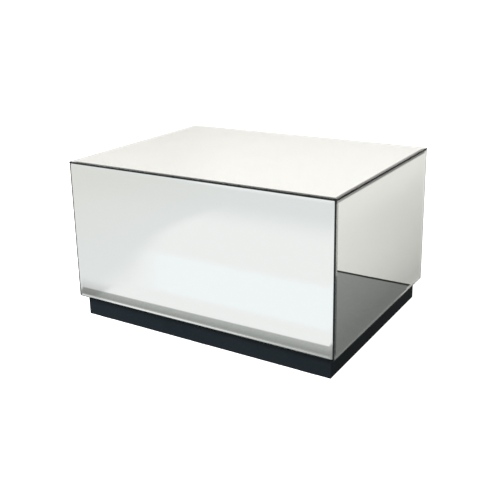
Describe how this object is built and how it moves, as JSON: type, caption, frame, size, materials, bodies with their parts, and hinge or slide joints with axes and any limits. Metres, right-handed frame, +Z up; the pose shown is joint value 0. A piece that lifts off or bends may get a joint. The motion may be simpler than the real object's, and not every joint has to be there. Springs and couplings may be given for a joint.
{
  "type": "mirror-clad display plinth",
  "caption": "Low rectangular display plinth and table, clad in bevelled mirror panes on a board carcass, standing on a recessed black plinth.",
  "frame": {"origin": "on the floor, under the centre of the plinth", "axes": "+X along the 800 mm width, to the right as seen from the front; +Y along the 600 mm depth, from front to rear; +Z up"},
  "size_m": [0.8, 0.6, 0.455],
  "materials": {
    "mirror_glass": "silvered float glass with a narrow ground bevel and polished edges",
    "mounting_tape": "white closed-cell foam mounting tape",
    "fibreboard": "raw medium-density fibreboard",
    "pine": "planed, unfinished softwood",
    "zinc_steel": "yellow-passivated zinc plate",
    "black_lacquer": "black satin lacquer on fibreboard",
    "felt": "dark grey needle felt"
  },
  "bodies": {
    "root": {"top_mirror": "mirror_glass", "front_mirror": "mirror_glass", "rear_mirror": "mirror_glass", "left_mirror": "mirror_glass", "right_mirror": "mirror_glass", "top_mirror_tape": "mounting_tape", "front_mirror_tape": "mounting_tape", "rear_mirror_tape": "mounting_tape", "left_mirror_tape": "mounting_tape", "right_mirror_tape": "mounting_tape", "top_board": "fibreboard", "front_board": "fibreboard", "rear_board": "fibreboard", "left_board": "fibreboard", "right_board": "fibreboard", "deck_board": "fibreboard", "centre_rib": "fibreboard", "corner_battens": "pine", "rib_dowels": "pine", "wall_screws": "zinc_steel", "deck_screws": "zinc_steel", "top_screws": "zinc_steel", "plinth_front_rail": "black_lacquer", "plinth_rear_rail": "black_lacquer", "plinth_left_rail": "black_lacquer", "plinth_right_rail": "black_lacquer", "plinth_cross_rail": "black_lacquer", "plinth_corner_blocks": "pine", "plinth_rail_screws": "zinc_steel", "plinth_block_screws": "zinc_steel", "felt_pads": "felt"}
  },
  "joints": []
}
